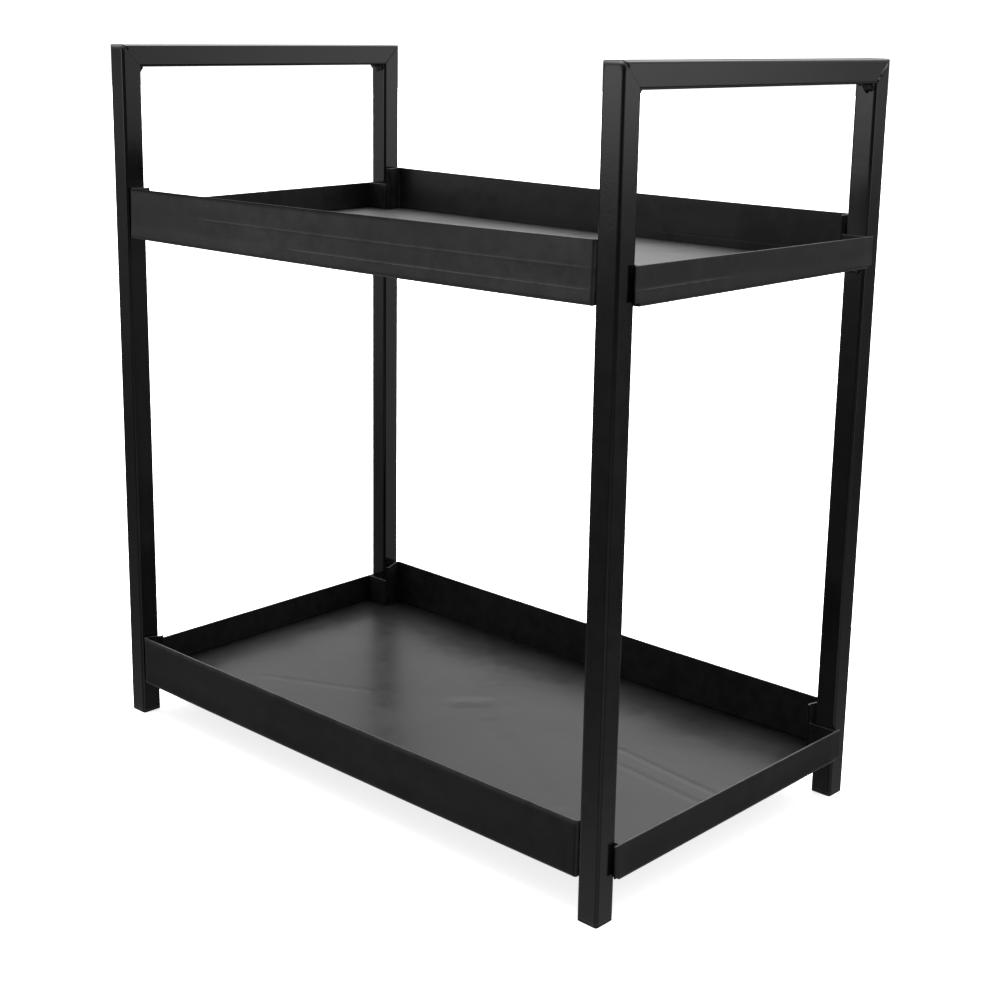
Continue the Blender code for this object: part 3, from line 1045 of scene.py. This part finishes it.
def add_backdrop():
    """A white dome behind everything."""
    build = bmesh.new()
    bmesh.ops.create_uvsphere(build, u_segments=48, v_segments=24, radius=BACKDROP_RADIUS)
    dome = add_stage("backdrop", build, "white_backdrop", BACKDROP_ROUGHNESS, BACKDROP_GLOW)
    dome.visible_shadow = False


# Brightness of the surroundings by height (the sine of the angle above the horizon), to the sides of the
# rack as the camera sees it and behind it. Then their ends, the brightest that a ramp can hold, and an even
# glow
SIDE_SKY = (
    (-0.50, 0.46), (-0.46, 0.34), (-0.42, 0.17), (-0.36, 0.09), (-0.22, 0.09), (-0.14, 0.18), (-0.10, 0.36),
    (-0.06, 1.20), (-0.03, 1.90), (0.03, 1.80), (0.10, 1.10), (0.20, 0.60), (0.55, 0.50), (1.00, 0.80),
)
BACK_SKY = (
    (-0.50, 0.50), (-0.41, 0.36), (-0.35, 0.18), (-0.28, 0.10), (-0.21, 0.09), (-0.15, 0.15), (-0.09, 0.21),
    (-0.04, 0.40), (-0.01, 0.28), (0.02, 0.05), (0.12, 0.08), (0.22, 0.28), (0.32, 0.52), (0.42, 0.92),
    (0.54, 2.20), (0.66, 2.90), (0.85, 2.90), (1.00, 2.20),
)
SKY_LOWEST = -0.50
SKY_HIGHEST = 1.00
SKY_STRONGEST = 3.0
AMBIENT = 0.03

# Two narrow reflector cards low down beside the rack: which side (1 right, -1 left), where they stand as the
# cosine of the angle to the unlit side, how wide, between which heights they fade in, and how bright
CARDS = (
    {"side": 1, "facing": 0.12, "half": 0.12, "low": -0.55, "high": -0.12, "bright": 0.60},
    {"side": -1, "facing": -0.13, "half": 0.14, "low": -0.30, "high": -0.08, "bright": 0.42},
)

# Heights between which the cards end at their top, and how far to its side a card is whole
CARD_TOP = (-0.02, -0.12)
CARD_TURN = 0.5

# A broad soft lamp above and behind the rack: its height above the horizon, the angles from its middle at
# which it starts and stops to fade, and its brightness
LAMP_ELEVATION = math.radians(76)
LAMP_CORE = math.radians(14)
LAMP_EDGE = math.radians(36)
LAMP_BRIGHT = 7.0

# The unlit side of the room lies this much to the right of the camera, seen from the rack
DARK_SIDE_TURN = math.radians(7)

# Share of the sky's brightness on the camera's left and on its right: near the horizon, low down and high up
SIDE_SHARES = (0.98, 0.66)
LOW_SIDE_SHARES = (0.90, 0.78)
HIGH_SIDE_SHARES = (1.0, 1.6)

# How far to each side these shares hold, and the heights over which low, level and high blend
SIDE_TURN = (-0.7, 0.7)
LOW_TO_LEVEL = (-0.16, -0.05)
LEVEL_TO_HIGH = (0.10, 0.30)

# Cosines of the angle to the unlit side over which the sky behind gives way to that at the sides: low down,
# and higher up, where the height counts too
BACK_TURN = (-0.20, 0.03)
HIGH_BACK_TURN = (-0.75, -0.30)
HIGH_BACK_RISE = (0.01, 0.08)

# Cosines over which the sky fades out to the unlit side, what is left of it, and the heights over which it
# comes back overhead
LIT_TURN = (0.08, 0.55)
UNLIT_SHARE = 0.03
OVERHEAD_RISE = (0.35, 0.75)

# Faint light from the camera's side, which the rounded tube corners show, level with them and low down: its
# brightness, the cosines over which it comes in and the heights over which it changes
FRONT_FILL = (0.03, 0.36)
FILL_TURN = (0.5, 0.95)
FILL_FALL = (-0.08, -0.42)


def sky_ramp(tree, height, stops):
    """Grey ramp through the given heights and brightnesses, as a share of the strongest."""
    ramp = add_node(tree, "ShaderNodeValToRGB")
    feed(tree, ramp, "Fac", height)
    elements = ramp.color_ramp.elements
    for index, (level, bright) in enumerate(stops):
        position = (level - SKY_LOWEST) / (SKY_HIGHEST - SKY_LOWEST)
        element = elements[index] if index < 2 else elements.new(position)
        element.position = position
        share = bright / SKY_STRONGEST
        element.color = (share, share, share, 1.0)
    return ramp.outputs["Color"]


def side_shares(tree, rightward, height):
    """Share of the sky's brightness by side and height."""
    level, low, high = (spread(tree, rightward, *SIDE_TURN, *shares)
                        for shares in (SIDE_SHARES, LOW_SIDE_SHARES, HIGH_SIDE_SHARES))
    raised = spread(tree, height, *LOW_TO_LEVEL)
    overhead = spread(tree, height, *LEVEL_TO_HIGH)
    shares = plus(tree, times(tree, level, raised),
                  times(tree, low, math_node(tree, "SUBTRACT", 1.0, raised)))
    return plus(tree, times(tree, high, overhead),
                times(tree, shares, math_node(tree, "SUBTRACT", 1.0, overhead)))


def card_glow(tree, card, facing, rightward, height):
    """Brightness of one reflector card."""
    glow = spread(tree, height, card["low"], card["high"], 0.0, card["bright"])
    for edge in (card["facing"] - card["half"], card["facing"] + card["half"]):
        glow = times(tree, glow, spread(tree, facing, edge, card["facing"]))
    glow = times(tree, glow, spread(tree, rightward, 0.0, CARD_TURN * card["side"]))
    return times(tree, glow, spread(tree, height, *CARD_TOP))


def add_world():
    """Soft studio light: bright overhead and to the sides, dimmer low behind, unlit on the camera's side."""
    world = bpy.data.worlds.new("studio")
    bpy.context.scene.world = world
    world.use_nodes = True
    tree = world.node_tree
    place = add_node(tree, "ShaderNodeTexCoord").outputs["Generated"]
    height = part_node(tree, place, "Z")

    camera_way = Vector((CAMERA_PLACE.x, CAMERA_PLACE.y, 0.0)).normalized()
    unlit_way = Matrix.Rotation(DARK_SIDE_TURN, 3, "Z") @ camera_way
    level_way = vector_node(tree, "NORMALIZE", vector_node(tree, "MULTIPLY", place, (1.0, 1.0, 0.0)))
    facing = vector_node(tree, "DOT_PRODUCT", level_way, unlit_way)
    rightward = vector_node(tree, "DOT_PRODUCT", level_way, Vector((-unlit_way.y, unlit_way.x, 0.0)))

    position = spread(tree, height, SKY_LOWEST, SKY_HIGHEST)
    position.node.interpolation_type = "LINEAR"
    high_mix = times(tree, spread(tree, facing, *HIGH_BACK_TURN), spread(tree, height, *HIGH_BACK_RISE))
    to_sides = math_node(tree, "MAXIMUM", spread(tree, facing, *BACK_TURN), high_mix)
    sky = blend(tree, to_sides, sky_ramp(tree, position, BACK_SKY), sky_ramp(tree, position, SIDE_SKY))
    lit = math_node(tree, "MAXIMUM", spread(tree, facing, *LIT_TURN, 1.0, UNLIT_SHARE),
                    spread(tree, height, *OVERHEAD_RISE))
    lit = times(tree, lit, side_shares(tree, rightward, height))
    sky = scale_node(tree, sky, times(tree, lit, SKY_STRONGEST))

    lamp_way = camera_way * -math.cos(LAMP_ELEVATION)
    lamp_way.z = math.sin(LAMP_ELEVATION)
    near_lamp = vector_node(tree, "DOT_PRODUCT", place, lamp_way)
    lamp = spread(tree, near_lamp, math.cos(LAMP_EDGE), math.cos(LAMP_CORE), 0.0, LAMP_BRIGHT)
    fill = times(tree, spread(tree, facing, *FILL_TURN), spread(tree, height, *FILL_FALL, *FRONT_FILL))
    extra = plus(tree, plus(tree, lamp, AMBIENT), fill)
    for card in CARDS:
        extra = plus(tree, extra, card_glow(tree, card, facing, rightward, height))
    background = tree.nodes["Background"]
    feed(tree, background, "Color", vector_node(tree, "ADD", sky, extra))
    feed(tree, background, "Strength", 1.0)


def add_camera():
    data = bpy.data.cameras.new("camera")
    data.sensor_width = CAMERA_SENSOR
    data.lens = CAMERA_LENS
    data.shift_x, data.shift_y = CAMERA_SHIFT
    camera = add_object("camera", data)
    ahead = (CAMERA_TARGET - CAMERA_PLACE).normalized()
    right = ahead.cross(Vector((0.0, 0.0, 1.0))).normalized()
    up = right.cross(ahead)
    rolled_right = right * math.cos(CAMERA_ROLL) + up * math.sin(CAMERA_ROLL)
    rolled_up = up * math.cos(CAMERA_ROLL) - right * math.sin(CAMERA_ROLL)
    turn = Matrix((rolled_right, rolled_up, -ahead)).transposed()
    camera.matrix_world = Matrix.Translation(CAMERA_PLACE) @ turn.to_4x4()
    bpy.context.scene.camera = camera


# Creases and a dent in the lower tray's floor: where they start and stop, how wide, and how strong
FLOOR_MARKS = (
    ((0.0189, -0.0021, 0.023), (0.1219, -0.0578, 0.023), 0.0100, 3.0),
    ((0.1003, 0.0226, 0.023), (0.1820, 0.0125, 0.023), 0.0040, 3.6),
    ((0.1003, 0.0076, 0.023), (0.1820, -0.0025, 0.023), 0.0040, 3.2),
    ((-0.1352, -0.0510, 0.023), (-0.0692, -0.0196, 0.023), 0.0050, 2.2),
    ((-0.0165, 0.0063, 0.023), (-0.0056, 0.0175, 0.023), 0.0110, -5.0),
)

# Painted light on the legs: where it starts and stops, how wide, how strong, and which way its face looks
FRONT_WAY = (0.0, -1.0, 0.0)
RIGHT_WAY = (1.0, 0.0, 0.0)
LEG_LIGHT = (
    ((0.1850, 0.0930, 0.318), (0.1850, 0.0930, 0.350), 0.0220, 1.0, FRONT_WAY),
    ((0.1893, 0.0988, 0.040), (0.1893, 0.0988, 0.130), 0.0200, 0.12, FRONT_WAY),
    ((-0.1828, -0.1053, 0.120), (-0.1828, -0.1053, 0.290), 0.0200, 0.35, RIGHT_WAY),
    ((-0.1828, -0.1053, 0.000), (-0.1828, -0.1053, 0.018), 0.0140, 0.30, RIGHT_WAY),
)

# Outer edges of the front mitred joints, which are ground round: where they start and stop and how wide
GROUND_WIDTH = 0.0060
GROUND_EDGES = tuple(
    ((side * LEG_X - TUBE / 2, -HALF_DEPTH, FRAME_TOP), (side * LEG_X + TUBE / 2, -HALF_DEPTH, FRAME_TOP),
     GROUND_WIDTH) for side in (-1, 1))


def main():
    frame_coat = powder_coat("frame", light_marks=LEG_LIGHT, ground=GROUND_EDGES)
    tray_coats = {
        "lower_tray": powder_coat("lower_tray", marks=FLOOR_MARKS),
        "upper_tray": powder_coat("upper_tray"),
    }
    plug_plastic = moulded_plastic("plug_plastic")
    for name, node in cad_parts.items():
        mat = plug_plastic if name.startswith("foot") else frame_coat
        node.data.materials.clear()
        node.data.materials.append(mat)
    for tray in TRAYS:
        add_tray(tray, tray_coats[tray])
        for place, (side, end) in LEGS.items():
            add_tray_weld(tray, place, side, end, frame_coat)
    for place, (side, end) in LEGS.items():
        add_corner_weld(place, side, end, frame_coat)
        add_mitre_weld(place, side, end, frame_coat)
    add_floor()
    add_backdrop()
    add_world()
    add_camera()
    bpy.context.scene.view_settings.view_transform = "Standard"


main()
